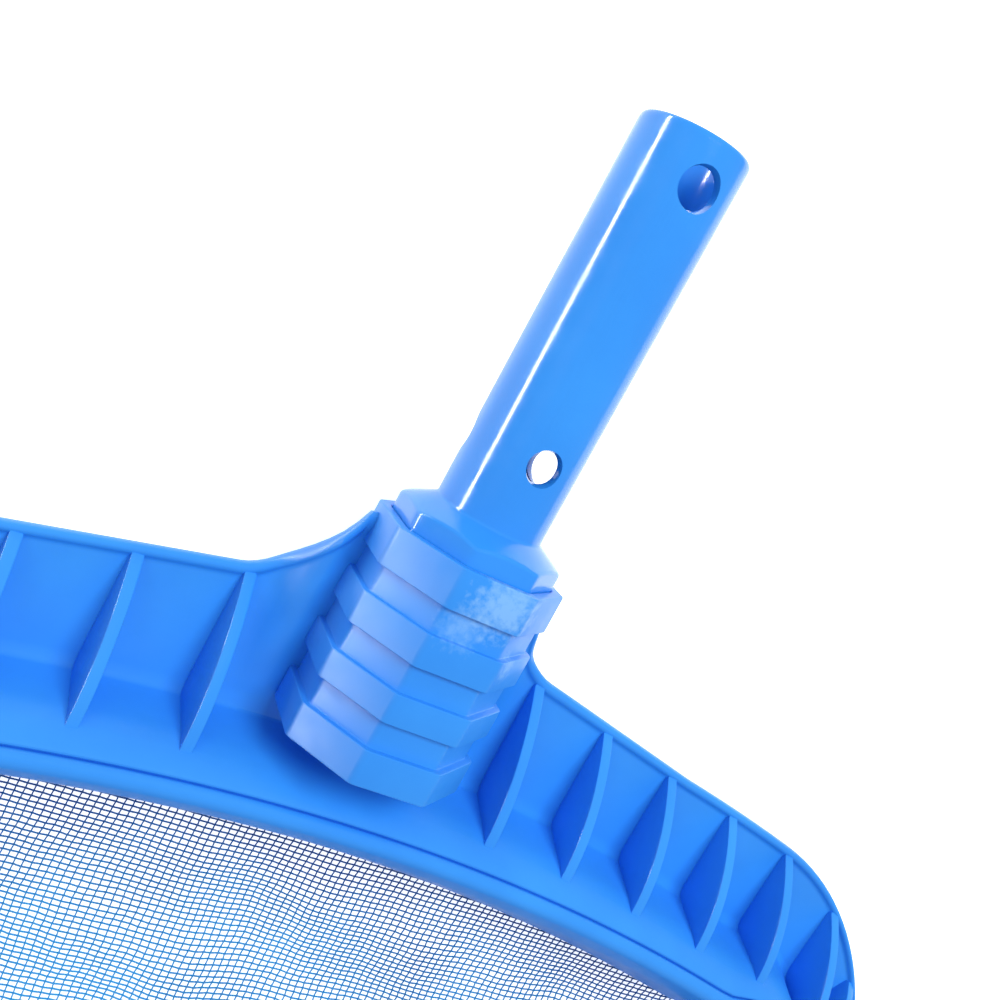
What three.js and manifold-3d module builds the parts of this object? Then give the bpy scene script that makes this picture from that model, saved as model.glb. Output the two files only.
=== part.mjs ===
// Pool leaf skimmer head: a moulded plastic rim with a ringed socket, a handle tube bonded into the
// socket, and a fine net held between the rim and a clamp ring by screws driven from below.
// Millimetres, +Z up, +Y towards the free end of the handle. The rim lies level on the ground.
import * as THREE from 'three';
import { mergeVertices } from 'three/addons/utils/BufferGeometryUtils.js';
import Module from 'manifold-3d';

const wasm = await Module();
wasm.setup();

// ---- Driving dimensions -------------------------------------------------------------------------
const degrees = Math.PI / 180;
const gap = 0.3; // clearance kept between neighbouring pieces

// Heights in the rim are counted from the socket's closed end, on the socket's axis.
const groundLevel = -33;
const handleTilt = 15 * degrees;

// Plan of the rim's outer edge: shallow rear arc, round corners, straight sides and front.
const rearY = 27.1;
const rearRadius = 675;
const rearCornerRadius = 70;
const halfWidth = 200.5;
const frontY = -285;
const frontCornerRadius = 55;

// Socket: four octagonal rings on a thinner octagonal barrel, each [start, height] along the axis.
const socketRings = [[0, 9.1], [16.5, 7.6], [31.4, 8.3], [46.6, 10]];
const socketLength = 56.6;
const ringRadiusLow = 25.8;
const ringRadiusHigh = 25.3;
const barrelRadius = 23.6;
const boreRadius = 22.2;
const socketFloor = 4;

// Handle: a round tube on an octagonal plug, with a conical shoulder where they meet.
const tubeRadius = 14;
const tubeBore = 11.6;
const tubeLength = 107; // beyond the socket's mouth
const tubeRimRadius = 1.6;
const plugRadius = boreRadius - gap;
const plugFlatHeight = 4.3; // corner height of the plug above the mouth
const shoulderHeight = 8.55; // where the shoulder meets the tube, above the mouth
// Cross holes: distance beyond the mouth, and angles round the tube from its top.
const clipHoles = { along: 95.6, radius: 4.9, angles: [0, 180] };
const topHole = { along: 26.2, radius: 4.1, angles: [0] };
const lowerHoles = { along: 24.8, radius: 5.2, angles: [120, 240] };

// Gusset ribs across the rim's trough.
const ribThickness = 3;
const rearRibs = { count: 5, first: 42.8, spacing: 26.2 };
const sideRibs = { count: 8, first: 176.4, spacing: 27.2 };
const ribLean = 4 * degrees;

// Screws that hold the clamp ring, all the same.
const screwInset = 48.8;
const screwPositions = [24, 108, 188, 278, 368, 500];
const screwShankRadius = 1.2;
const screwHeadRadius = 2.5;
const screwHeadHeight = 1.8;
const bossRadius = 2.7;
const bossBottom = -1.5;
const bossTop = 0;
const screwTop = 6.4;
const screwHoleRadius = screwShankRadius + gap;

// Net.
const netInset = 58.4;
const netThickness = 0.6;
const netEdgeHeight = -17.7;
const netSag = 12;
const netSagLength = 24;

// ---- Cross-sections of the rim, as [inset from the outer edge, height] --------------------------
// Rear and sides: edge bead, sloping wall, trough, hump, ledge for the clamp ring, standing web.
const channelSection = [
  [-0.4, -5.2], [0, -3.6], [1, -2.9], [2.2, -3.4], [3, -5], [16, -9.3], [27.8, -12.6], [30.4, -12.2],
  [33, -7.8], [37.5, 0.6], [41.6, 4.8], [45.6, 6.6], [46, 3.5], [52, 1.9], [55.2, -17.5], [55.2, groundLevel],
  [52.8, groundLevel], [52.8, -9], [51.8, -1.8], [44, 2.2], [39.4, -1.8], [34.8, -10.2], [31.6, -15],
  [27.4, -15.2], [15.4, -11.9], [2.4, -7.8], [0.4, -7],
];
// Front: the wall becomes a thin scoop blade that runs down to the ground.
const scoopSection = [
  [-9, -32.4], [-9.4, -31.7], [-8.7, -31], [-6.5, -30.3], [-2, -28.6], [14, -21], [25.6, -12.2], [29.6, -9.2],
  [33.4, -6], [38, -1.4], [42, 3], [45.6, 6.6], [46, 3.5], [52, 1.9], [55.2, -17.5], [55.2, groundLevel],
  [52.8, groundLevel], [52.8, -9], [51.8, -1.8], [44, 1.2], [39.4, -3.4], [35, -8.4], [31.4, -11.4],
  [27, -15], [15, -23.4], [-1, -31], [-7, -32.6],
];
const clampRingSection = [
  [46.4, 3.9], [46.4, 6.2], [47.2, 7.1], [49, 7.4], [50.8, 6.6], [53.8, 1.4], [58.2, -15.5], [58, -16.9],
  [55.7, -16.9], [52.3, 2.4],
];
const weltSection = [
  [55.6, -19.2], [55.6, -17.9], [56.2, -17.3], [57.4, -17.3], [58, -17.9], [58, -19.2], [57.4, -19.8],
  [56.2, -19.8],
];

// ---- Materials ----------------------------------------------------------------------------------
const frameBlue = new THREE.MeshStandardMaterial({ color: '#2c84ee', roughness: 0.42, metalness: 0 });
const glossBlue = new THREE.MeshStandardMaterial({ color: '#2f8bf2', roughness: 0.16, metalness: 0 });
const netBlue = new THREE.MeshStandardMaterial({ color: '#7fbce4', roughness: 0.6, metalness: 0 });
const weltNavy = new THREE.MeshStandardMaterial({ color: '#1d3f86', roughness: 0.7, metalness: 0 });
const steel = new THREE.MeshStandardMaterial({ color: '#b9bcc0', roughness: 0.3, metalness: 1 });

// ---- Solids -------------------------------------------------------------------------------------
function toSolid(geometry) {
  const bare = geometry.clone();
  bare.deleteAttribute('normal');
  bare.deleteAttribute('uv');
  const welded = mergeVertices(bare, 1e-4);
  const vertProperties = new Float32Array(welded.attributes.position.array);
  const triVerts = new Uint32Array(welded.index.array);
  return new wasm.Manifold(new wasm.Mesh({ numProp: 3, vertProperties, triVerts }));
}

function toGeometry(solid) {
  const mesh = solid.getMesh();
  const geometry = new THREE.BufferGeometry();
  geometry.setAttribute('position', new THREE.BufferAttribute(new Float32Array(mesh.vertProperties), 3));
  geometry.setIndex(new THREE.BufferAttribute(new Uint32Array(mesh.triVerts), 1));
  geometry.computeVertexNormals();
  return geometry;
}

function joined(geometries) {
  return geometries.map(toSolid).reduce((sum, solid) => sum.add(solid));
}

// ---- Plan of the rim ----------------------------------------------------------------------------
// The right half of the outer edge, from the middle of the rear to the middle of the front, as
// stretches that each give a point and outward normal for a fraction of their length.
function arcStretch(cx, cy, radius, from, to) {
  return {
    length: radius * Math.abs(to - from),
    at(fraction) {
      const angle = from + (to - from) * fraction;
      const nx = Math.cos(angle);
      const ny = Math.sin(angle);
      return { x: cx + radius * nx, y: cy + radius * ny, nx, ny };
    },
  };
}

function lineStretch(x0, y0, x1, y1) {
  const length = Math.hypot(x1 - x0, y1 - y0);
  return {
    length,
    at(fraction) {
      const x = x0 + (x1 - x0) * fraction;
      const y = y0 + (y1 - y0) * fraction;
      return { x, y, nx: -(y1 - y0) / length, ny: (x1 - x0) / length };
    },
  };
}

const rearCentreY = rearY - rearRadius;
const cornerX = halfWidth - rearCornerRadius;
const cornerAngle = Math.acos(cornerX / (rearRadius - rearCornerRadius));
const cornerY = rearCentreY + (rearRadius - rearCornerRadius) * Math.sin(cornerAngle);
const frontCornerX = halfWidth - frontCornerRadius;
const frontCornerY = frontY + frontCornerRadius;
const stretches = {
  rear: arcStretch(0, rearCentreY, rearRadius, Math.PI / 2, cornerAngle),
  corner: arcStretch(cornerX, cornerY, rearCornerRadius, cornerAngle, 0),
  side: lineStretch(halfWidth, cornerY, halfWidth, frontCornerY),
  frontCorner: arcStretch(frontCornerX, frontCornerY, frontCornerRadius, 0, -Math.PI / 2),
  front: lineStretch(frontCornerX, frontY, 0, frontY),
};
stretches.side.at = sideNormalOutward(stretches.side.at);
stretches.front.at = frontNormalOutward(stretches.front.at);

function sideNormalOutward(at) {
  return (fraction) => ({ ...at(fraction), nx: 1, ny: 0 });
}

function frontNormalOutward(at) {
  return (fraction) => ({ ...at(fraction), nx: 0, ny: -1 });
}

const frontStart = stretches.rear.length + stretches.corner.length + stretches.side.length;
const halfLength = frontStart + stretches.frontCorner.length + stretches.front.length;

// A point of the outer edge at a distance from the middle of the rear, on the right (side = 1) or
// the left (side = -1).
function edgePoint(distance, side) {
  let left = distance;
  for (const stretch of Object.values(stretches)) {
    if (left <= stretch.length + 1e-6) {
      const point = stretch.at(Math.min(1, left / stretch.length));
      return { ...point, x: side * point.x, nx: side * point.nx, distance };
    }
    left -= stretch.length;
  }
  return { ...stretches.front.at(1), distance };
}

function smoothStep(from, to, value) {
  const t = Math.min(1, Math.max(0, (value - from) / (to - from)));
  return t * t * (3 - 2 * t);
}

// How far the section has changed from the channel (0) to the scoop blade (1).
function scoopShare(distance) {
  return smoothStep(frontStart - 45, frontStart + 50, distance);
}

// Beside the socket the outer edge runs out straight to the shoulders, and from there it sweeps
// in a hollow curve along the socket's sides to the topmost ring.
function shoulderReach(distance) {
  const straight = 12.7 - 0.2 * distance + 0.00074 * distance * distance;
  const sweep = Math.min(22, Math.max(0, 46 - distance));
  return (distance < 120 ? Math.max(0, straight) : 0) + 0.038 * sweep * sweep;
}

// The trough is troughInset wide at the rear and sideNarrowing less at the sides and the front.
const troughInset = 30;
const sideNarrowing = 10;
const lipLift = 13; // how far the lip climbs where it meets the topmost ring

// How far a section point lies in from the outer edge, with the shoulders and the narrowing.
function insetAt(distance, inset) {
  const share = Math.min(1, Math.max(0, inset) / troughInset);
  const narrowing = sideNarrowing * smoothStep(140, 205, distance);
  return inset - share * narrowing - (1 - share) * shoulderReach(distance);
}

// Place a section point [inset, height] at a point of the outer edge.
function placed(edge, inset, height) {
  const depth = insetAt(edge.distance, inset);
  const lipShare = 1 - Math.min(1, Math.max(0, inset) / troughInset);
  const lift = lipLift * smoothStep(38, 26, edge.distance) * lipShare;
  return [edge.x - edge.nx * depth, edge.y - edge.ny * depth, height + lift];
}

const rearStations = [0, 18, 24, 28, 32, 36, 41, 46, 56, 72, 95, 120, stretches.rear.length];

function evenly(start, length, steps) {
  return Array.from({ length: steps }, (_, index) => start + (length * (index + 1)) / steps);
}

function halfStations() {
  const cornerStart = stretches.rear.length;
  const sideStart = cornerStart + stretches.corner.length;
  const frontStraightStart = frontStart + stretches.frontCorner.length;
  return [
    ...rearStations,
    ...evenly(cornerStart, stretches.corner.length, 7),
    ...evenly(sideStart, stretches.side.length, 5),
    ...evenly(frontStart, stretches.frontCorner.length, 6),
    ...evenly(frontStraightStart, stretches.front.length, 3),
  ];
}

// The whole outer edge as a closed run of points, clockwise seen from above.
function loopOfEdge() {
  const stations = halfStations();
  const right = stations.map((distance) => edgePoint(distance, 1));
  const left = stations.slice(1, -1).reverse().map((distance) => edgePoint(distance, -1));
  return [...right, ...left];
}

// A closed ring swept round the rim: sectionAt(edge) gives the section's points there.
function ringGeometry(sectionAt) {
  const rows = loopOfEdge().map((edge) => (
    sectionAt(edge).map(([inset, height]) => placed(edge, inset, height))
  ));
  const count = rows[0].length;
  const index = [];
  rows.forEach((_, row) => {
    const next = (row + 1) % rows.length;
    for (let i = 0; i < count; i += 1) {
      const j = (i + 1) % count;
      const corners = [row * count + i, row * count + j, next * count + j, next * count + i];
      index.push(corners[0], corners[1], corners[2], corners[0], corners[2], corners[3]);
    }
  });
  const geometry = new THREE.BufferGeometry();
  geometry.setAttribute('position', new THREE.Float32BufferAttribute(rows.flat(2), 3));
  geometry.setIndex(index);
  return geometry;
}

// ---- Rim ----------------------------------------------------------------------------------------
function rimSectionAt(edge) {
  const share = scoopShare(edge.distance);
  return channelSection.map(([inset, height], i) => {
    const [scoopInset, scoopHeight] = scoopSection[i];
    return [inset + (scoopInset - inset) * share, height + (scoopHeight - height) * share];
  });
}

// The way a gusset runs in from the edge: straight to the front across the rear of the rim, and
// square to the edge round the corners and along the sides.
function ribDirection(edge) {
  const square = smoothStep(185, 225, edge.distance);
  const inward = new THREE.Vector3(-edge.nx * square, -edge.ny * square - (1 - square), 0);
  return inward.normalize();
}

// One gusset: a plate across the trough, with a bowed free edge from the bead to the hump.
function ribGeometry(edge) {
  const inward = ribDirection(edge);
  const slant = -(inward.x * edge.nx + inward.y * edge.ny);
  const along = (inset) => insetAt(edge.distance, inset) / slant;
  const outline = new THREE.Shape();
  outline.moveTo(along(2), -5.8);
  outline.lineTo(along(2), -3.7);
  outline.quadraticCurveTo(along(21), 8.5, along(40.6), 3.3);
  outline.lineTo(along(40.6), 1);
  outline.lineTo(along(33.6), -9.4);
  outline.lineTo(along(31), -13.6);
  outline.lineTo(along(27.6), -13.9);
  const plate = new THREE.ExtrudeGeometry(outline, {
    depth: ribThickness, bevelEnabled: false, curveSegments: 7,
  });
  const lean = ribLean * (1 - smoothStep(160, 215, edge.distance)) * Math.sign(edge.nx);
  plate.translate(0, 2, -ribThickness / 2).rotateX(-lean).translate(0, -2, 0);
  const up = new THREE.Vector3(0, 0, 1);
  const across = new THREE.Vector3().crossVectors(inward, up);
  const stand = new THREE.Matrix4().makeBasis(inward, up, across).setPosition(edge.x, edge.y, 0);
  return plate.applyMatrix4(stand);
}

function ribRow(row, side) {
  return Array.from({ length: row.count }, (_, i) => (
    ribGeometry(edgePoint(row.first + i * row.spacing, side))
  ));
}

function ribs() {
  return [1, -1].flatMap((side) => [...ribRow(rearRibs, side), ...ribRow(sideRibs, side)]);
}

// An octagonal prism along +Y with a flat side on top, from start over a height.
function octagon(radiusLow, radiusHigh, start, height) {
  const prism = new THREE.CylinderGeometry(radiusHigh, radiusLow, height, 8, 1, false, Math.PI / 8);
  return prism.translate(0, start + height / 2, 0);
}

function ringRadiusAt(along) {
  return ringRadiusLow + ((ringRadiusHigh - ringRadiusLow) * along) / socketLength;
}

function socketGeometries() {
  const rings = socketRings.map(([start, height]) => (
    octagon(ringRadiusAt(start), ringRadiusAt(start + height), start, height)
  ));
  const barrel = octagon(barrelRadius, barrelRadius, 1, socketLength - 2);
  return [...rings, barrel].map((piece) => piece.rotateX(handleTilt));
}

function socketBore() {
  const depth = socketLength - socketFloor;
  return toSolid(octagon(boreRadius, boreRadius, socketFloor, depth + 20).rotateX(handleTilt));
}

function uprightCylinder(x, y, radius, bottom, top, sides) {
  const post = new THREE.CylinderGeometry(radius, radius, top - bottom, sides);
  return post.rotateX(Math.PI / 2).translate(x, y, (bottom + top) / 2);
}

// The screws' places: six on each side, at screwInset from the outer edge.
const screwPlaces = [1, -1].flatMap((side) => (
  screwPositions.map((distance) => placed(edgePoint(distance, side), screwInset, 0).slice(0, 2))
));

function rimFrame() {
  const bosses = screwPlaces.map(([x, y]) => uprightCylinder(x, y, bossRadius, bossBottom, bossTop, 12));
  const body = joined([ringGeometry(rimSectionAt), ...ribs(), ...socketGeometries(), ...bosses]);
  const holes = screwPlaces.map(([x, y]) => (
    toSolid(uprightCylinder(x, y, screwHoleRadius, bossBottom - 6, 5, 10))
  ));
  return holes.reduce((rest, hole) => rest.subtract(hole), body.subtract(socketBore()));
}

// ---- Clamp ring, welt and net -------------------------------------------------------------------
function clampRing() {
  const ring = toSolid(ringGeometry(() => clampRingSection));
  const holes = screwPlaces.map(([x, y]) => (
    toSolid(uprightCylinder(x, y, screwHoleRadius, 0, screwTop + gap, 10))
  ));
  return holes.reduce((rest, hole) => rest.subtract(hole), ring);
}

function netHeight(distanceFromEdge) {
  return netEdgeHeight - netSag * (1 - Math.exp(-distanceFromEdge / netSagLength));
}

// A thin dished sheet: rows from the edge towards the middle, a top and a bottom face, and a rim.
function netGeometry() {
  const shares = [0, 0.05, 0.11, 0.19, 0.3, 0.5, 0.75];
  const middle = { x: 0, y: (rearY + frontY) / 2 };
  const edges = loopOfEdge();
  const top = shares.flatMap((share) => edges.flatMap((edge) => {
    const [x, y] = placed(edge, netInset, 0);
    const span = Math.hypot(middle.x - x, middle.y - y);
    return [x + (middle.x - x) * share, y + (middle.y - y) * share, netHeight(span * share)];
  }));
  top.push(middle.x, middle.y, netEdgeHeight - netSag);
  const bottom = top.map((value, i) => (i % 3 === 2 ? value - netThickness : value));
  const count = edges.length;
  const centre = shares.length * count;
  const below = centre + 1;
  const index = [];
  for (let i = 0; i < count; i += 1) {
    const j = (i + 1) % count;
    for (let row = 0; row < shares.length - 1; row += 1) {
      const [a, b] = [row * count + i, row * count + j];
      const [c, d] = [a + count, b + count];
      index.push(a, c, b, b, c, d);
      index.push(below + a, below + b, below + c, below + b, below + d, below + c);
    }
    const last = (shares.length - 1) * count;
    index.push(last + i, centre, last + j, below + last + i, below + last + j, below + centre);
    index.push(i, j, below + i, j, below + j, below + i);
  }
  const geometry = new THREE.BufferGeometry();
  geometry.setAttribute('position', new THREE.Float32BufferAttribute([...top, ...bottom], 3));
  geometry.setIndex(index);
  return geometry;
}

// ---- Handle -------------------------------------------------------------------------------------
// A turned solid about the handle's axis (+Y) from [radius, along] points that end on the axis.
function turned(points, sides) {
  return new THREE.LatheGeometry(points.map(([radius, along]) => new THREE.Vector2(radius, along)), sides);
}

function crossHoles(row) {
  const along = socketLength + row.along;
  return row.angles.map((angle) => {
    const drill = new THREE.CylinderGeometry(row.radius, row.radius, tubeRadius * 1.5, 20);
    drill.rotateX(Math.PI / 2).translate(0, 0, tubeRadius * 0.75 + 2);
    return toSolid(drill.rotateY(angle * degrees).translate(0, along, 0));
  });
}

function handle() {
  const plugBottom = socketFloor + gap;
  const end = socketLength + tubeLength;
  const shoulder = socketLength + shoulderHeight;
  const slope = (shoulderHeight - plugFlatHeight) / (plugRadius - tubeRadius);
  const coneRadius = plugRadius + 3;
  const cone = turned([
    [0, plugBottom], [coneRadius, plugBottom], [coneRadius, shoulder - slope * (coneRadius - tubeRadius)],
    [tubeRadius - 0.4, shoulder + slope * 0.4], [0, shoulder + slope * 0.4],
  ], 48);
  const plug = octagon(plugRadius, plugRadius, plugBottom, socketLength + shoulderHeight - plugBottom + 2);
  const tube = turned([
    [0, plugBottom + 1], [tubeRadius, plugBottom + 1], [tubeRadius, end - tubeRimRadius],
    [tubeRadius - tubeRimRadius * 0.3, end - tubeRimRadius * 0.3], [tubeRadius - tubeRimRadius, end], [0, end],
  ], 40);
  const bore = turned([[0, plugBottom - 5], [tubeBore, plugBottom - 5], [tubeBore, end + 5], [0, end + 5]], 32);
  let body = toSolid(plug).intersect(toSolid(cone)).add(toSolid(tube)).subtract(toSolid(bore));
  for (const hole of [clipHoles, topHole, lowerHoles].flatMap(crossHoles)) {
    body = body.subtract(hole);
  }
  return toGeometry(body).rotateX(handleTilt);
}

// ---- Screws -------------------------------------------------------------------------------------
function screwGeometry([x, y]) {
  const headTop = bossBottom - gap;
  const headBottom = headTop - screwHeadHeight;
  const profile = [
    [0, headBottom], [screwHeadRadius * 0.72, headBottom], [screwHeadRadius, headBottom + 0.8],
    [screwHeadRadius, headTop], [screwShankRadius, headTop], [screwShankRadius, screwTop - 1], [0, screwTop],
  ];
  return turned(profile, 12).rotateX(Math.PI / 2).translate(x, y, 0);
}

// ---- Assembly -----------------------------------------------------------------------------------
const skimmer = new THREE.Group();

function addPiece(name, geometry, material) {
  const mesh = new THREE.Mesh(geometry, material);
  mesh.name = name;
  skimmer.add(mesh);
}

addPiece('rim_frame', toGeometry(rimFrame()), frameBlue);
addPiece('handle', handle(), glossBlue);
addPiece('net_clamp_ring', toGeometry(clampRing()), frameBlue);
addPiece('net_welt', ringGeometry(() => weltSection), weltNavy);
addPiece('net', netGeometry(), netBlue);
screwPlaces.forEach((place, i) => {
  addPiece(`clamp_screw_${String(i + 1).padStart(2, '0')}`, screwGeometry(place), steel);
});

// The origin is at the middle of the whole object's length and width, on the ground.
const extent = new THREE.Box3().setFromObject(skimmer);
const centre = extent.getCenter(new THREE.Vector3());
skimmer.position.set(-centre.x, -centre.y, -extent.min.z);

export default skimmer;
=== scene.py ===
# Pool leaf skimmer head: detailed pieces, materials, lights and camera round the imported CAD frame.
import math
import random

import bmesh
import bpy
import numpy as np
from mathutils import Euler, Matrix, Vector


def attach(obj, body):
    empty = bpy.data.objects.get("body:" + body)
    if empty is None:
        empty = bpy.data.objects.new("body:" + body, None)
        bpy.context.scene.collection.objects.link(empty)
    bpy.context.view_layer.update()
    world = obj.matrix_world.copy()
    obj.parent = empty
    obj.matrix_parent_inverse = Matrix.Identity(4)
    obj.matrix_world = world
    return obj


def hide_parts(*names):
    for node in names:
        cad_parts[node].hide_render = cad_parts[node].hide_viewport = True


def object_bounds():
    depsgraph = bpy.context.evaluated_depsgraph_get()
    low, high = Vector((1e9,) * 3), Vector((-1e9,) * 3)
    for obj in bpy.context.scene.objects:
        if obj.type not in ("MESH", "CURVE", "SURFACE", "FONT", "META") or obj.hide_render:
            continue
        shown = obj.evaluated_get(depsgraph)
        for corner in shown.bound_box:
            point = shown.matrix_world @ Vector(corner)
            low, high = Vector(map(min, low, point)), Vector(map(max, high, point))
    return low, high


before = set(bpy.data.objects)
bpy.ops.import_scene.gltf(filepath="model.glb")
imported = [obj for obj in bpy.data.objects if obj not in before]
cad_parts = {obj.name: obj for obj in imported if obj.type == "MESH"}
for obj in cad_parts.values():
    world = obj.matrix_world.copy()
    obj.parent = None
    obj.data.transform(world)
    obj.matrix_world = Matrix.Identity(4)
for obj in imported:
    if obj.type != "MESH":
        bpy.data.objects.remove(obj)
cad_low, cad_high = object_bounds()

# ---- Driving dimensions, in millimetres ----------------------------------------------------------
# Sizes are counted from the socket's closed end, on the socket's axis: +Y to the handle, +Z up.
MM = 0.001
GROUND = -33.0
SCOOP_TIP_Y = -294.4
DATUM = Vector((0, cad_low.y / MM - SCOOP_TIP_Y, -GROUND))
TILT = math.radians(15)

# Plan of the rim's outer edge.
REAR_Y, REAR_RADIUS, CORNER_RADIUS = 27.1, 675.0, 70.0
HALF_WIDTH, FRONT_Y, FRONT_CORNER_RADIUS = 200.5, -285.0, 55.0
TROUGH_INSET, SIDE_NARROWING = 30.0, 10.0
NARROWING_START, NARROWING_END = 140, 205
# Beside the socket the edge runs out to the shoulders, then sweeps up to the topmost ring.
SHOULDER_START_REACH, SHOULDER_SLOPE, SHOULDER_CURVE, SHOULDER_END = 12.7, -0.2, 0.00074, 120
SWEEP_START, SWEEP_LENGTH, SWEEP_CURVE = 46.0, 22.0, 0.038
LIP_LIFT, LIFT_START, LIFT_END = 13.0, 38, 26
# Stations beside the socket: the first, their step and count, and where the wider steps begin.
CLOSE_START, CLOSE_STEP, CLOSE_COUNT, CLOSE_END = 20.0, 2.0, 17, 55
# The channel turns into the scoop between these distances past the front corner's start.
SCOOP_BLEND_START, SCOOP_BLEND_END = -45, 50

# Socket and handle.
SOCKET_RINGS = [(0, 9.1), (16.5, 7.6), (31.4, 8.3), (46.6, 10)]
SOCKET_LENGTH = 56.6
RING_RADIUS_LOW, RING_RADIUS_HIGH = 25.8, 25.3
BARREL_RADIUS, BORE_RADIUS, SOCKET_FLOOR = 23.6, 22.2, 4.0
TUBE_RADIUS, TUBE_BORE, TUBE_END = 14.0, 11.6, SOCKET_LENGTH + 107.0
PLUG_RADIUS, PLUG_BOTTOM = 21.9, 4.3
PLUG_CORNER_HEIGHT, SHOULDER_HEIGHT = 4.3, 8.55
# Rounding of the handle's profile: bore and plug at the bottom, shoulder, then the tube's end.
HANDLE_ROUNDING, HANDLE_STEPS, HANDLE_FACET = [0.3, 0.5, 0.8, 0.7, 1.9, 0.7], 5, 1.6
HOLE_FLARE, DRILL_START, DRILL_END = 0.5, 2.0, 22.0
# Cross holes: [distance along, radius, angles round the tube from its top].
CROSS_HOLES = [
    (SOCKET_LENGTH + 95.6, 4.9, (0, 180)),
    (SOCKET_LENGTH + 26.2, 4.1, (0,)),
    (SOCKET_LENGTH + 24.8, 5.2, (120, 240)),
]

# Gusset ribs: [count, first, spacing] along the edge, at the rear and then round the sides.
RIB_ROWS = [(5, 42.8, 26.2), (8, 176.4, 27.2)]
RIB_THICKNESS, RIB_EDGE_ROUND, RIB_LEAN = 3.0, 0.45, math.radians(4)
RIB_LEAN_HEIGHT, RIB_BOW_STEPS = -2.0, 16
# The ribs at the rear run straight forward and lean; round the sides they stand square to the edge.
RIB_TURN_START, RIB_TURN_END = 185, 225
LEAN_FADE_START, LEAN_FADE_END = 160, 215
# Free edge of a rib as (inset, height): its two ends with its bow between, then the rest of the plate.
RIB_BOW = [(2, -3.7), (21, 8.5), (40.6, 3.3)]
RIB_FOOT = [(40.6, 1), (33.6, -9.4), (31, -13.6), (27.6, -13.9), (2, -5.8)]

# Screws: places along half of the edge, and the bosses that they go into.
SCREW_INSET = 48.8
SCREW_POSITIONS = [24, 108, 188, 278, 368, 500]
BOSS_RADIUS, BOSS_BOTTOM, BOSS_TOP = 2.7, -1.5, 0.0

# Welt round the net's edge, as (inset, height) of its centre.
WELT_PLACE, WELT_RADIUS, WELT_SIDES = (56.8, -18.55), 1.2, 10

# Net: rectangular cells between two sets of woven threads. A thread spans at least FEWEST_CELLS.
NET_INSET = 57.2
NET_EDGE_HEIGHT, NET_SAG, NET_SAG_LENGTH = -18.0, 11.7, 24.0
CELL_X, CELL_Y = 2.15, 1.5
WARP_SECTION, WEFT_SECTION = (0.32, 0.3), (0.38, 0.3)
WEAVE_HEIGHT = 0.16
# The cloth is still at its edge, and fully rippled from this far inside it.
HELD_EDGE = 18.0
# Ripples of the cloth: [height, length, seed] of each wave, across, along and up.
RIPPLES_X = [(0.9, 55, 3), (0.14, 9, 5)]
RIPPLES_Y = [(0.9, 45, 7), (0.14, 8, 11)]
RIPPLES_Z = [(0.9, 38, 13), (0.12, 10, 17)]
FEWEST_CELLS = 3

# ---- Cross-sections of the rim, as (inset from the outer edge, height) ---------------------------
CHANNEL_SECTION = [
    (-0.4, -5.2), (0, -3.6), (1, -2.9), (2.2, -3.4), (3, -5), (16, -9.3), (27.8, -12.6), (30.4, -12.2),
    (33, -7.8), (37.5, 0.6), (41.6, 4.8), (45.6, 6.6), (46.5, 4.9), (52, 1.9), (55.2, -17.5),
    (55.2, GROUND), (52.8, GROUND), (52.8, -9), (51.8, -1.8), (44, 2.2), (39.4, -1.8), (34.8, -10.2),
    (31.6, -15), (27.4, -15.2), (15.4, -11.9), (2.4, -7.8), (0.4, -7),
]
SCOOP_SECTION = [
    (-9, -32.4), (-9.4, -31.7), (-8.7, -31), (-6.5, -30.3), (-2, -28.6), (14, -21), (25.6, -12.2),
    (29.6, -9.2), (33.4, -6), (38, -1.4), (42, 3), (45.6, 6.6), (46.5, 4.9), (52, 1.9), (55.2, -17.5),
    (55.2, GROUND), (52.8, GROUND), (52.8, -9), (51.8, -1.8), (44, 1.2), (39.4, -3.4), (35, -8.4),
    (31.4, -11.4), (27, -15), (15, -23.4), (-1, -31), (-7, -32.6),
]
CLAMP_SECTION = [
    (46.4, 3.9), (46.4, 6.2), (47.2, 7.1), (49, 7.4), (50.8, 6.6), (53.8, 1.4), (58.2, -15.5),
    (58, -16.9), (55.7, -16.9), (52.3, 2.4),
]
# How far each corner of the sections is rounded, and the steps in each rounded corner.
SECTION_ROUNDING = [
    0.6, 0.8, 0.8, 0.8, 0.9, 4, 1.2, 1.0, 2, 3, 3, 0.9, 0.3, 0.4, 1, 0.4,
    0.4, 1, 0.6, 1, 2, 2, 1, 1, 4, 1, 0.6,
]
CLAMP_ROUNDING = [0.4, 0.4, 0.8, 0.8, 1.2, 2, 0.5, 0.4, 0.4, 0.5]
CORNER_STEPS = 3


# ---- Small helpers -------------------------------------------------------------------------------
def smooth_step(start, end, value):
    t = min(1.0, max(0.0, (value - start) / (end - start)))
    return t * t * (3 - 2 * t)


def rounded(points, radii, steps, closed=True):
    """An outline with each corner replaced by a smooth curve that starts radii[i] from the corner."""
    points = [Vector(p) for p in points]
    result = []
    for i, corner in enumerate(points):
        if not closed and i in (0, len(points) - 1):
            result.append(corner)
            continue
        before, after = points[i - 1], points[(i + 1) % len(points)]
        start = corner + (before - corner) * min(0.48, radii[i] / max(1e-9, (before - corner).length))
        end = corner + (after - corner) * min(0.48, radii[i] / max(1e-9, (after - corner).length))
        for k in range(steps + 1):
            t = k / steps
            result.append(start * (1 - t) ** 2 + corner * 2 * t * (1 - t) + end * t ** 2)
    return result


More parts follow.
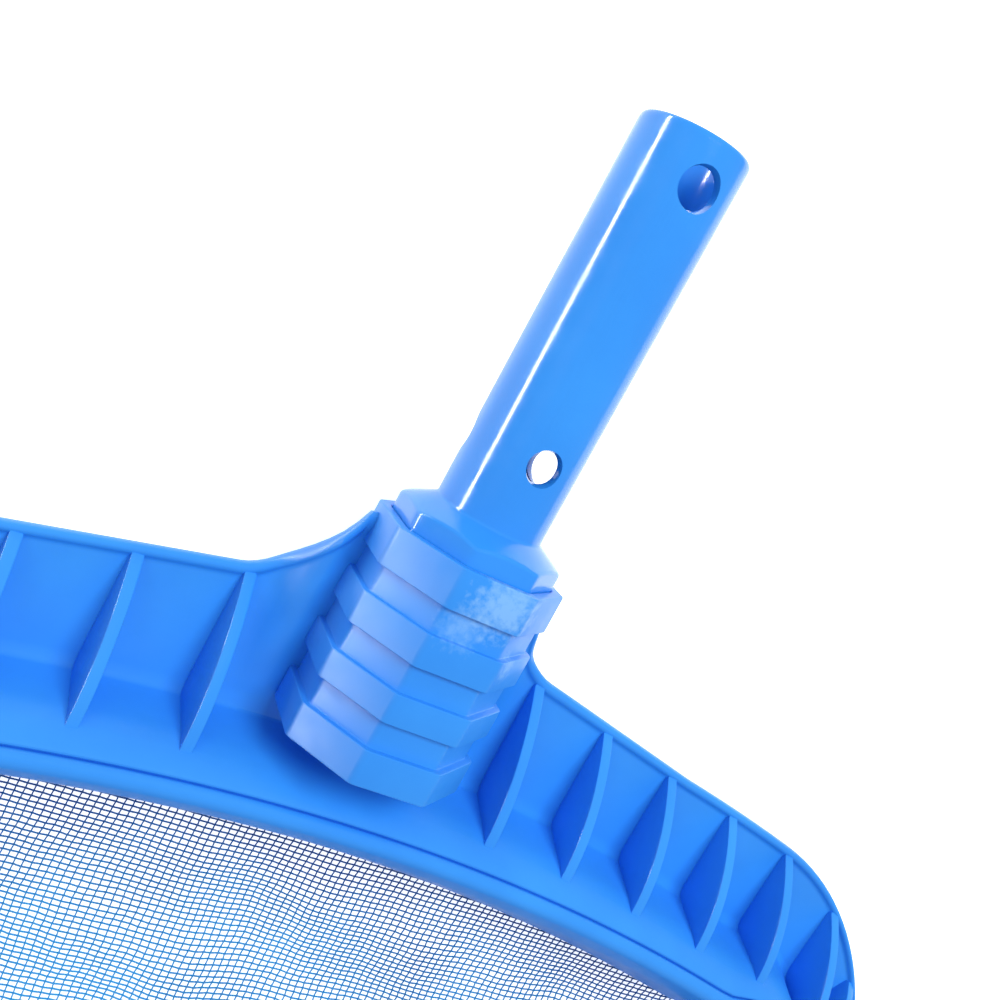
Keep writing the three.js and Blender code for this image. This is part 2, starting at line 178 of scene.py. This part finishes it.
def new_piece(name, points, faces, sharp_angle=32):
    """A mesh object from points in millimetres, counted from the socket."""
    mesh = bpy.data.meshes.new(name)
    mesh.from_pydata([(Vector(p) + DATUM) * MM for p in points], [], faces)
    shell = bmesh.new()
    shell.from_mesh(mesh)
    bmesh.ops.recalc_face_normals(shell, faces=shell.faces)
    shell.to_mesh(mesh)
    shell.free()
    mesh.shade_smooth()
    mesh.set_sharp_from_angle(angle=math.radians(sharp_angle))
    piece = bpy.data.objects.new(name, mesh)
    bpy.context.scene.collection.objects.link(piece)
    return piece


def merged(parts):
    """One (points, faces) from several."""
    points, faces = [], []
    for part_points, part_faces in parts:
        base = len(points)
        points += part_points
        faces += [tuple(index + base for index in face) for face in part_faces]
    return points, faces


def loop_faces(rows, columns, closed_rows):
    """Quads between neighbouring rows of a grid whose columns close on themselves."""
    last = rows if closed_rows else rows - 1
    faces = []
    for row in range(last):
        base, other = row * columns, ((row + 1) % rows) * columns
        for i in range(columns):
            j = (i + 1) % columns
            faces.append((base + i, base + j, other + j, other + i))
    return faces


def cut_out(piece, other):
    """Take the other object's shape out of the piece, and remove the other object."""
    modifier = piece.modifiers.new("cut", "BOOLEAN")
    modifier.operation = "DIFFERENCE"
    modifier.solver = "MANIFOLD"
    modifier.object = other
    bpy.context.view_layer.update()
    graph = bpy.context.evaluated_depsgraph_get()
    mesh = bpy.data.meshes.new_from_object(piece.evaluated_get(graph))
    piece.modifiers.clear()
    piece.data = mesh
    bpy.data.objects.remove(other)


def place_piece(piece, material, slot, *nodes):
    """Give the piece its material, and stand it in for the CAD nodes."""
    piece.data.materials.clear()
    piece.data.materials.append(material)
    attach(piece, "root")
    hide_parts(*nodes)


# ---- Plan of the rim -----------------------------------------------------------------------------
def arc_stretch(cx, cy, radius, start, end):
    """A round stretch of the edge: its length, and at(distance) for x, y and the normal there."""
    length = radius * abs(end - start)

    def at(distance):
        angle = start + (end - start) * distance / length
        nx, ny = math.cos(angle), math.sin(angle)
        return cx + radius * nx, cy + radius * ny, nx, ny

    return length, at


def line_stretch(x0, y0, x1, y1, nx, ny):
    """A straight stretch of the edge, described as arc_stretch describes a round one."""
    length = math.hypot(x1 - x0, y1 - y0)

    def at(distance):
        t = distance / length
        return x0 + (x1 - x0) * t, y0 + (y1 - y0) * t, nx, ny

    return length, at


REAR_CENTRE_Y = REAR_Y - REAR_RADIUS
CORNER_X = HALF_WIDTH - CORNER_RADIUS
CORNER_ANGLE = math.acos(CORNER_X / (REAR_RADIUS - CORNER_RADIUS))
CORNER_Y = REAR_CENTRE_Y + (REAR_RADIUS - CORNER_RADIUS) * math.sin(CORNER_ANGLE)
FRONT_CORNER_X = HALF_WIDTH - FRONT_CORNER_RADIUS
FRONT_CORNER_Y = FRONT_Y + FRONT_CORNER_RADIUS
STRETCHES = [
    arc_stretch(0, REAR_CENTRE_Y, REAR_RADIUS, math.pi / 2, CORNER_ANGLE),
    arc_stretch(CORNER_X, CORNER_Y, CORNER_RADIUS, CORNER_ANGLE, 0),
    line_stretch(HALF_WIDTH, CORNER_Y, HALF_WIDTH, FRONT_CORNER_Y, 1, 0),
    arc_stretch(FRONT_CORNER_X, FRONT_CORNER_Y, FRONT_CORNER_RADIUS, 0, -math.pi / 2),
    line_stretch(FRONT_CORNER_X, FRONT_Y, 0, FRONT_Y, 0, -1),
]
FRONT_START = sum(length for length, _ in STRETCHES[:3])
STEP_LENGTHS = [5.0, 4.0, 9.0, 5.0, 12.0]


def edge_point(distance, side):
    """(x, y, nx, ny, distance) on the outer edge, on the right (side 1) or the left (side -1)."""
    left = distance
    for length, at in STRETCHES:
        if left <= length + 1e-6:
            x, y, nx, ny = at(min(left, length))
            return side * x, y, side * nx, ny, distance
        left -= length
    return 0, FRONT_Y, 0, -1, distance


def shoulder_reach(distance):
    """How far the edge runs out beyond its arc, to the shoulders and up the socket's sides."""
    shoulder = 0.0
    if distance < SHOULDER_END:
        shoulder = SHOULDER_START_REACH + SHOULDER_SLOPE * distance + SHOULDER_CURVE * distance * distance
    sweep = min(SWEEP_LENGTH, max(0.0, SWEEP_START - distance))
    return max(0.0, shoulder) + SWEEP_CURVE * sweep * sweep


def inset_at(distance, inset):
    """How far inside the plain edge a point of the section lies, after the narrowing and shoulders."""
    share = min(1.0, max(0.0, inset) / TROUGH_INSET)
    narrowing = SIDE_NARROWING * smooth_step(NARROWING_START, NARROWING_END, distance)
    return inset - share * narrowing - (1 - share) * shoulder_reach(distance)


def placed(edge, inset, height):
    """A point of the section, in place at that point of the edge."""
    x, y, nx, ny, distance = edge
    depth = inset_at(distance, inset)
    lip_share = 1 - min(1.0, max(0.0, inset) / TROUGH_INSET)
    lift = LIP_LIFT * smooth_step(LIFT_START, LIFT_END, distance) * lip_share
    return x - nx * depth, y - ny * depth, height + lift


def stations():
    """Distances along half of the edge, closer together beside the socket."""
    near = [0.0, 10.0, 18.0] + [CLOSE_START + CLOSE_STEP * i for i in range(CLOSE_COUNT)]
    far = []
    start = 0.0
    for (length, _), step in zip(STRETCHES, STEP_LENGTHS):
        count = max(1, round(length / step))
        far += [start + length * (i + 1) / count for i in range(count)]
        start += length
    return near + [distance for distance in far if distance >= CLOSE_END]


def edge_loop():
    """The stations all the way round the edge."""
    distances = stations()
    right = [edge_point(d, 1) for d in distances]
    left = [edge_point(d, -1) for d in reversed(distances[1:-1])]
    return right + left


def sweep(section_at):
    """A closed ring round the rim; section_at(distance) gives its section there."""
    rows = [[placed(edge, *point) for point in section_at(edge[4])] for edge in edge_loop()]
    columns = len(rows[0])
    faces = [face[::-1] for face in loop_faces(len(rows), columns, True)]
    return [point for row in rows for point in row], faces


# ---- Rim moulding --------------------------------------------------------------------------------
def rim_section(distance):
    """The channel's section, which turns into the scoop's towards the front."""
    share = smooth_step(FRONT_START + SCOOP_BLEND_START, FRONT_START + SCOOP_BLEND_END, distance)
    section = [
        (a[0] + (b[0] - a[0]) * share, a[1] + (b[1] - a[1]) * share)
        for a, b in zip(CHANNEL_SECTION, SCOOP_SECTION)
    ]
    return [tuple(point) for point in rounded(section, SECTION_ROUNDING, CORNER_STEPS)]


def rib_outline(along):
    """A rib's outline; along(inset) gives how far along its plate that inset is."""
    start, middle, end = (Vector((along(inset), height)) for inset, height in RIB_BOW)
    free_edge = []
    for k in range(RIB_BOW_STEPS + 1):
        t = k / RIB_BOW_STEPS
        free_edge.append(start * (1 - t) ** 2 + middle * 2 * t * (1 - t) + end * t ** 2)
    return free_edge + [Vector((along(inset), height)) for inset, height in RIB_FOOT]


def rib_solid(edge):
    """One gusset: a plate across the trough, its free edge bowed and its corners rounded over."""
    x, y, nx, ny, distance = edge
    square = smooth_step(RIB_TURN_START, RIB_TURN_END, distance)
    inward = Vector((-nx * square, -ny * square - (1 - square), 0)).normalized()
    slant = -(inward.x * nx + inward.y * ny)
    outline = rib_outline(lambda inset: inset_at(distance, inset) / slant)
    centre = sum(outline, Vector((0, 0))) / len(outline)
    lean = RIB_LEAN * (1 - smooth_step(LEAN_FADE_START, LEAN_FADE_END, distance)) * (1 if nx > 0 else -1)
    across = inward.cross(Vector((0, 0, 1)))
    half, rounding = RIB_THICKNESS / 2, RIB_EDGE_ROUND
    layers = [(-half, rounding), (-half + rounding * 0.3, rounding * 0.3), (-half + rounding, 0)]
    layers += [(-level, shrink) for level, shrink in reversed(layers)]
    points = []
    for level, shrink in layers:
        for point in outline:
            pulled = point + (centre - point).normalized() * shrink
            above = pulled.y - RIB_LEAN_HEIGHT
            side = level * math.cos(lean) + above * math.sin(lean)
            height = above * math.cos(lean) - level * math.sin(lean) + RIB_LEAN_HEIGHT
            spot = Vector((x, y, 0)) + inward * pulled.x + across * side
            points.append((spot.x, spot.y, height))
    count = len(outline)
    faces = loop_faces(len(layers), count, False)
    faces.append(tuple(reversed(range(count))))
    faces.append(tuple(range((len(layers) - 1) * count, len(layers) * count)))
    return points, faces


def octagon_loop(radius, rounding):
    """An octagon with rounded corners and a flat side at its top."""
    angles = [math.pi / 8 + k * math.pi / 4 for k in range(8)]
    corners = [(radius * math.cos(angle), radius * math.sin(angle)) for angle in angles]
    return rounded(corners, [rounding] * 8, CORNER_STEPS)


def tilted(x, along, up):
    """A point from the socket's own axes: x across, along the axis and up from it."""
    return (
        x,
        along * math.cos(TILT) - up * math.sin(TILT),
        along * math.sin(TILT) + up * math.cos(TILT),
    )


def ring_radius(along):
    """The socket's rings grow a little towards its closed end."""
    return RING_RADIUS_LOW + (RING_RADIUS_HIGH - RING_RADIUS_LOW) * along / SOCKET_LENGTH


def lofted_octagons(profile, rounding):
    """A solid of octagons, one for each (radius, along) of the profile."""
    loops = [[tilted(p.x, along, p.y) for p in octagon_loop(radius, rounding)] for radius, along in profile]
    columns = len(loops[0])
    faces = [face[::-1] for face in loop_faces(len(loops), columns, False)]
    faces.append(tuple(range(columns)))
    faces.append(tuple(reversed(range((len(loops) - 1) * columns, len(loops) * columns))))
    return [point for loop in loops for point in loop], [face[::-1] for face in faces]


def socket_solid():
    """The ringed socket, hollow down to its floor."""
    profile = [(0.5 * RING_RADIUS_LOW, 0)]
    for start, height in SOCKET_RINGS:
        end = start + height
        if start:
            profile.append((BARREL_RADIUS, start))
        profile += [(ring_radius(start), start), (ring_radius(end), end)]
        if end < SOCKET_LENGTH:
            profile.append((BARREL_RADIUS, end))
    profile += [(BORE_RADIUS, SOCKET_LENGTH), (BORE_RADIUS, SOCKET_FLOOR)]
    return lofted_octagons(list(rounded(profile, [0.45] * len(profile), 3, closed=False)), 1.1)


def circle(radius, sides):
    angles = [2 * math.pi * k / sides for k in range(sides)]
    return [(radius * math.cos(angle), radius * math.sin(angle)) for angle in angles]


def upright_cylinder(x, y, radius, bottom, top, sides=24):
    points = [(x + a, y + b, z) for z in (bottom, top) for a, b in circle(radius, sides)]
    faces = loop_faces(2, sides, False)
    faces += [tuple(reversed(range(sides))), tuple(range(sides, 2 * sides))]
    return points, faces


def screw_places():
    return [
        placed(edge_point(distance, side), SCREW_INSET, 0)[:2]
        for side in (1, -1) for distance in SCREW_POSITIONS
    ]


def rim_moulding():
    """The rim, socket, ribs and bosses: closed shells that overlap, in one piece."""
    ribs = [
        rib_solid(edge_point(first + i * spacing, side))
        for side in (1, -1) for count, first, spacing in RIB_ROWS for i in range(count)
    ]
    bosses = [upright_cylinder(x, y, BOSS_RADIUS, BOSS_BOTTOM, BOSS_TOP) for x, y in screw_places()]
    return new_piece("rim_moulding", *merged([sweep(rim_section), socket_solid(), *ribs, *bosses]))


# ---- Handle --------------------------------------------------------------------------------------
def handle_tube():
    """The tube, its conical shoulder and its octagonal plug, lofted round the axis."""
    around = []
    loop = octagon_loop(PLUG_RADIUS, 1.2)
    for i, point in enumerate(loop):
        following = loop[(i + 1) % len(loop)]
        parts = max(1, round((following - point).length / HANDLE_FACET))
        around += [point.lerp(following, k / parts) for k in range(parts)]
    slope = (SHOULDER_HEIGHT - PLUG_CORNER_HEIGHT) / (PLUG_RADIUS - TUBE_RADIUS)
    rows = []
    for point in around:
        reach = point.length
        direction = point / reach
        shoulder = SOCKET_LENGTH + SHOULDER_HEIGHT
        profile = [
            (TUBE_BORE, PLUG_BOTTOM), (reach, PLUG_BOTTOM),
            (reach, shoulder - slope * (reach - TUBE_RADIUS)), (TUBE_RADIUS, shoulder),
            (TUBE_RADIUS, TUBE_END), (TUBE_BORE, TUBE_END),
        ]
        curve = rounded(profile, HANDLE_ROUNDING, HANDLE_STEPS)
        rows.append([tilted(direction.x * r, along, direction.y * r) for r, along in curve])
    faces = [face[::-1] for face in loop_faces(len(rows), len(rows[0]), True)]
    return new_piece("handle_tube", [point for row in rows for point in row], faces)


def cross_drill(along, radius, angle):
    """A cutter for one cross hole, with a small flare where it leaves the tube."""
    sides = 48
    flared = radius + HOLE_FLARE
    profile = [
        (radius, DRILL_START), (radius, TUBE_RADIUS - 1.4), (flared, TUBE_RADIUS + 0.1), (flared, DRILL_END),
    ]
    turn = math.radians(angle)
    points = []
    for r, up in profile:
        for x, y in circle(r, sides):
            across = x * math.cos(turn) + up * math.sin(turn)
            points.append(tilted(across, along + y, up * math.cos(turn) - x * math.sin(turn)))
    faces = [face[::-1] for face in loop_faces(len(profile), sides, False)]
    faces += [tuple(range(sides)), tuple(reversed(range((len(profile) - 1) * sides, len(profile) * sides)))]
    return new_piece("drill", points, faces)


def handle():
    """The tube with its cross holes cut."""
    piece = handle_tube()
    for along, radius, angles in CROSS_HOLES:
        for angle in angles:
            cut_out(piece, cross_drill(along, radius, angle))
    piece.data.shade_smooth()
    piece.data.set_sharp_from_angle(angle=math.radians(30))
    return piece


# ---- Clamp ring and welt -------------------------------------------------------------------------
def clamp_ring():
    section = [tuple(point) for point in rounded(CLAMP_SECTION, CLAMP_ROUNDING, CORNER_STEPS)]
    return new_piece("clamp_ring", *sweep(lambda distance: section))


def welt():
    inset, height = WELT_PLACE
    section = [(inset + x, height - y) for x, y in circle(WELT_RADIUS, WELT_SIDES)]
    return new_piece("net_welt_cord", *sweep(lambda distance: section))


# ---- Net -----------------------------------------------------------------------------------------
def net_border():
    """The net's outline, just inside the clamp ring."""
    return np.array([placed(edge, NET_INSET, 0)[:2] for edge in edge_loop()])


def crossing_range(border, value, axis):
    """The lowest and highest place where the line at value crosses the border."""
    a, b = border, np.roll(border, -1, axis=0)
    low, high = a[:, axis] - value, b[:, axis] - value
    hit = (low >= 0) != (high >= 0)
    t = low[hit] / (low[hit] - high[hit])
    other = a[hit, 1 - axis] + t * (b[hit, 1 - axis] - a[hit, 1 - axis])
    return (other.min(), other.max()) if len(other) else None


def edge_distance(border, x, y):
    """How far points are from the border."""
    a, b = border, np.roll(border, -1, axis=0)
    along = b - a
    best = np.full(x.shape, 1e9)
    for (ax, ay), (dx, dy) in zip(a, along):
        t = np.clip(((x - ax) * dx + (y - ay) * dy) / (dx * dx + dy * dy + 1e-12), 0, 1)
        best = np.minimum(best, np.hypot(x - ax - t * dx, y - ay - t * dy))
    return best


def ripple(x, y, length, seed):
    """A smooth random surface between about -1 and 1, with waves of roughly that length."""
    source = random.Random(seed)
    total = np.zeros_like(x)
    for _ in range(7):
        angle, phase = source.uniform(0, math.pi), source.uniform(0, 2 * math.pi)
        wave = 2 * math.pi / (length * source.uniform(0.7, 1.6))
        total += np.sin(wave * (x * math.cos(angle) + y * math.sin(angle)) + phase)
    return total / 3.2


def net_surface(border, x, y):
    """Where the cloth's points lie: pulled about a little in its own plane, and sagging."""
    distance = edge_distance(border, x, y)
    inner = np.clip(distance / HELD_EDGE, 0, 1)
    pulls = [
        inner * sum(height * ripple(x, y, length, seed) for height, length, seed in waves)
        for waves in (RIPPLES_X, RIPPLES_Y, RIPPLES_Z)
    ]
    sag = NET_SAG * (1 - np.exp(-distance / NET_SAG_LENGTH))
    return x + pulls[0], y + pulls[1], NET_EDGE_HEIGHT - sag + pulls[2]


def thread_mesh(paths, section):
    """Closed square tubes along the paths; each path is an array of points and an across direction."""
    points, faces = [], []
    for path, across in paths:
        base, count = len(points), len(path)
        for p in path:
            for side, level in ((-1, -1), (1, -1), (1, 1), (-1, 1)):
                offset = across * side * section[0] / 2
                points.append((p[0] + offset[0], p[1] + offset[1], p[2] + level * section[1] / 2))
        for row in range(count - 1):
            for i in range(4):
                j = (i + 1) % 4
                start, after = base + row * 4, base + row * 4 + 4
                faces.append((start + i, start + j, after + j, after + i))
        faces.append((base + 3, base + 2, base + 1, base))
        end = base + (count - 1) * 4
        faces.append((end, end + 1, end + 2, end + 3))
    return points, faces


def thread_paths(border, axis):
    """Threads that run along Y (axis 0) or along X (axis 1), one point at each crossing."""
    cells = (CELL_X, CELL_Y)
    step, cross_step = cells[axis], cells[1 - axis]
    first, last = border[:, axis].min(), border[:, axis].max()
    paths = []
    for index in range(math.ceil(first / step), math.floor(last / step) + 1):
        ends = crossing_range(border, index * step, axis)
        if not ends or ends[1] - ends[0] < FEWEST_CELLS * cross_step:
            continue
        crossings = np.arange(math.ceil(ends[0] / cross_step), math.floor(ends[1] / cross_step) + 1)
        other = np.concatenate([[ends[0]], crossings * cross_step, [ends[1]]])
        own = np.full_like(other, index * step)
        x, y, z = net_surface(border, *((own, other) if axis == 0 else (other, own)))
        sign = np.concatenate([[0], np.where((crossings + index) % 2 == 0, 1, -1), [0]])
        z = z + sign * WEAVE_HEIGHT * (1 if axis == 0 else -1)
        across = np.array((1.0, 0.0) if axis == 0 else (0.0, -1.0))
        paths.append((np.stack([x, y, z], axis=1), across))
    return paths


def net():
    """The woven net, with its flat area and its width and length, in metres."""
    border = net_border()
    warp = thread_mesh(thread_paths(border, 0), WARP_SECTION)
    weft = thread_mesh(thread_paths(border, 1), WEFT_SECTION)
    a, b = border, np.roll(border, -1, axis=0)
    area = abs(float((a[:, 0] * b[:, 1] - b[:, 0] * a[:, 1]).sum()) / 2)
    size = border.max(axis=0) - border.min(axis=0)
    return new_piece("woven_net", *merged([warp, weft]), 180), area * MM * MM, size * MM


# ---- Materials -----------------------------------------------------------------------------------
RIM_BLUE, RIM_DEEP = (0.034, 0.3, 0.87), (0.027, 0.262, 0.82)
MARK_TINT = (0.42, 0.7, 0.95)
# Net colours: the navy is painted shade for the threads by the rim; the teal is the threads' own colour.
NET_PAINTED_SHADE_NAVY, NET_TEAL = (0.006, 0.07, 0.26), (0.03, 0.32, 0.68)
# Worn and marked places: [centre in the frame, radius, ragged edge, noise scale, strength].
RESIDUE = [
    ((0.004, 0.1108, 0.0692), 0.0062, 0.0038, 620, 0.42),
    ((-0.003, 0.1035, 0.0655), 0.004, 0.003, 700, 0.28),
]
SCUFFS = [((0.012, 0.098, 0.0605), 0.0026, 0.0016, 800, 0.4)]


def new_material(name, color, roughness):
    material = bpy.data.materials.new(name)
    material.use_nodes = True
    shader = material.node_tree.nodes["Principled BSDF"]
    shader.inputs["Base Color"].default_value = (*color, 1)
    shader.inputs["Roughness"].default_value = roughness
    return material, shader


def add_node(material, kind, inputs=None, **settings):
    node = material.node_tree.nodes.new(kind)
    for key, value in settings.items():
        setattr(node, key, value)
    for key, value in (inputs or {}).items():
        if isinstance(value, bpy.types.NodeSocket):
            material.node_tree.links.new(value, node.inputs[key])
        else:
            node.inputs[key].default_value = value
    return node


def connect(material, output, socket):
    material.node_tree.links.new(output, socket)


def noise_output(material, scale, detail=4):
    place = add_node(material, "ShaderNodeTexCoord").outputs["Object"]
    noise = add_node(material, "ShaderNodeTexNoise", {
        "Vector": place, "Scale": scale, "Detail": detail, "Roughness": 0.55,
    })
    return noise.outputs["Fac"]


def remapped(material, value, low, high, to_low, to_high):
    node = add_node(material, "ShaderNodeMapRange", {
        "Value": value, "From Min": low, "From Max": high, "To Min": to_low, "To Max": to_high,
    })
    return node.outputs["Result"]


def mixed_color(material, factor, first, second):
    """Between two colours; each is an RGB triple or an output."""
    node = add_node(material, "ShaderNodeMix", data_type="RGBA")
    sockets = (node.inputs["Factor"], node.inputs[6], node.inputs[7])
    for socket, value in zip(sockets, (factor, first, second)):
        if isinstance(value, bpy.types.NodeSocket):
            connect(material, value, socket)
        elif isinstance(value, tuple):
            socket.default_value = (*value, 1)
        else:
            socket.default_value = value
    return node.outputs[2]


def bump_output(material, height, strength, distance, normal=None):
    inputs = {"Height": height, "Strength": strength, "Distance": distance}
    if normal is not None:
        inputs["Normal"] = normal
    return add_node(material, "ShaderNodeBump", inputs).outputs["Normal"]


def spot_mask(material, centre, radius, softness, scale):
    """1 inside a ragged patch round a point of the frame, 0 outside."""
    place = add_node(material, "ShaderNodeTexCoord").outputs["Object"]
    away = add_node(material, "ShaderNodeVectorMath", {0: place, 1: centre}, operation="DISTANCE")
    rag = noise_output(material, scale)
    spread = add_node(material, "ShaderNodeMath", {
        0: away.outputs["Value"], 1: remapped(material, rag, 0.3, 0.7, -radius * 0.55, radius * 0.55),
    }, operation="ADD")
    return remapped(material, spread.outputs[0], radius - softness, radius + softness, 1, 0)


def moulded_blue(name, color, deep, roughness, grain, waviness, marks=()):
    """Slight colour and gloss variation and a fine skin, for the moulded plastic and the welt."""
    material, shader = new_material(name, color, roughness)
    tone = remapped(material, noise_output(material, 24, 5), 0.35, 0.65, 0, 1)
    surface = mixed_color(material, tone, color, deep)
    for centre, radius, softness, scale, strength in marks:
        mask = spot_mask(material, centre, radius, softness, scale)
        part = remapped(material, mask, 0, 1, 0, strength)
        surface = mixed_color(material, part, surface, MARK_TINT)
    connect(material, surface, shader.inputs["Base Color"])
    gloss = remapped(material, noise_output(material, 160, 6), 0.3, 0.7, roughness - 0.05, roughness + 0.07)
    connect(material, gloss, shader.inputs["Roughness"])
    skin = bump_output(material, noise_output(material, 2600, 3), grain, 0.0001)
    wave = bump_output(material, noise_output(material, 60, 2), waviness, 0.0006, skin)
    connect(material, wave, shader.inputs["Normal"])
    return material


def thread_material():
    """Painted shade: navy by the rim, where the rim shades the net, fading to the threads' own lighter teal
    blue where the net hangs low.
    """
    material, shader = new_material("net_thread", (0.02, 0.16, 0.5), 0.45)
    place = add_node(material, "ShaderNodeTexCoord").outputs["Object"]
    height = add_node(material, "ShaderNodeSeparateXYZ", {"Vector": place}).outputs["Z"]
    tone = noise_output(material, 30, 3)
    drift = add_node(material, "ShaderNodeMath", {
        0: height, 1: remapped(material, tone, 0.3, 0.7, -0.0025, 0.0025),
    }, operation="ADD")
    # Painted shade mask: 0 high up by the rim, in the navy shade, and 1 low down, in the threads' own teal.
    low = remapped(material, drift.outputs[0], 0.0135, 0.0035, 0, 1)
    connect(material, mixed_color(material, low, NET_PAINTED_SHADE_NAVY, NET_TEAL), shader.inputs["Base Color"])
    return material


def steel_material():
    material, shader = new_material("stainless_steel", (0.5, 0.51, 0.53), 0.3)
    shader.inputs["Metallic"].default_value = 1
    brushed = remapped(material, noise_output(material, 900, 4), 0.3, 0.7, 0.22, 0.4)
    connect(material, brushed, shader.inputs["Roughness"])
    return material


# ---- Floor, lights and camera --------------------------------------------------------------------
def floor():
    size, level = 4.0, -0.0003
    mesh = bpy.data.meshes.new("floor")
    corners = [(-size, -size, level), (size, -size, level), (size, size, level), (-size, size, level)]
    mesh.from_pydata(corners, [], [(0, 1, 2, 3)])
    piece = bpy.data.objects.new("floor", mesh)
    bpy.context.scene.collection.objects.link(piece)
    material, shader = new_material("pale_floor", (0.9, 0.9, 0.92), 0.9)
    shader.inputs["Emission Color"].default_value = (1, 1, 1, 1)
    shader.inputs["Emission Strength"].default_value = 0.72
    mesh.materials.append(material)


def area_light(name, place, target, width, height, power):
    light = bpy.data.lights.new(name, "AREA")
    light.shape = "RECTANGLE"
    light.size, light.size_y = width, height
    light.energy = power
    holder = bpy.data.objects.new(name, light)
    holder.location = place
    holder.rotation_euler = (Vector(target) - Vector(place)).to_track_quat("-Z", "Y").to_euler()
    bpy.context.scene.collection.objects.link(holder)
    return holder


def lights():
    """A soft key and fill from above, and a low strip that the gloss of the tube shows as a streak."""
    key = area_light("key", (0.2, 0.5, 1.4), (0, 0.05, 0), 0.6, 0.6, 16)
    key.visible_glossy = False
    fill = area_light("fill", (-0.9, 0.1, 1.0), (0, 0.05, 0), 0.5, 0.5, 1.5)
    fill.visible_glossy = False
    strip = area_light("tube_strip", (-0.81, 0.2, 0.12), (0, 0.17, 0.06), 1.7, 0.07, 17)
    strip.visible_diffuse = False
    strip.visible_camera = False
    world = bpy.data.worlds.new("studio")
    bpy.context.scene.world = world
    world.use_nodes = True
    world.node_tree.nodes["Background"].inputs["Color"].default_value = (0.93, 0.96, 1, 1)
    world.node_tree.nodes["Background"].inputs["Strength"].default_value = 0.45
    bpy.context.scene.view_settings.view_transform = "Standard"


def camera():
    """A camera above the rim's rear edge, left of the handle, with the socket near its middle."""
    data = bpy.data.cameras.new("camera")
    data.lens, data.sensor_width = 40.192, 36
    data.shift_x, data.shift_y = 0.0431, 0.0137
    data.clip_start = 0.005
    holder = bpy.data.objects.new("camera", data)
    holder.location = (Vector((-112.97, 40.33, 258.88)) + DATUM) * MM
    holder.rotation_euler = Euler([math.radians(a) for a in (-5.449, -23.21, 24.531)], "XYZ")
    bpy.context.scene.collection.objects.link(holder)
    bpy.context.scene.camera = holder


# ---- The whole object ----------------------------------------------------------------------------
camera()
lights()
floor()

satin = moulded_blue("satin_blue", RIM_BLUE, RIM_DEEP, 0.4, 0.1, 0.1, RESIDUE + SCUFFS)
glossy = moulded_blue("gloss_blue", RIM_BLUE, RIM_DEEP, 0.14, 0.01, 0.008)
navy = moulded_blue("welt_navy", (0.012, 0.05, 0.24), (0.008, 0.035, 0.18), 0.7, 0.3, 0.1)

place_piece(rim_moulding(), satin, "rim", "rim_frame")
place_piece(handle(), glossy, "handle", "handle")
place_piece(clamp_ring(), satin, "rim", "net_clamp_ring")
place_piece(welt(), navy, "welt", "net_welt")
net_piece, net_area, net_size = net()
place_piece(net_piece, thread_material(), "net", "net")

steel = steel_material()
for name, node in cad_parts.items():
    if name.startswith("clamp_screw"):
        node.data.materials.clear()
        node.data.materials.append(steel)
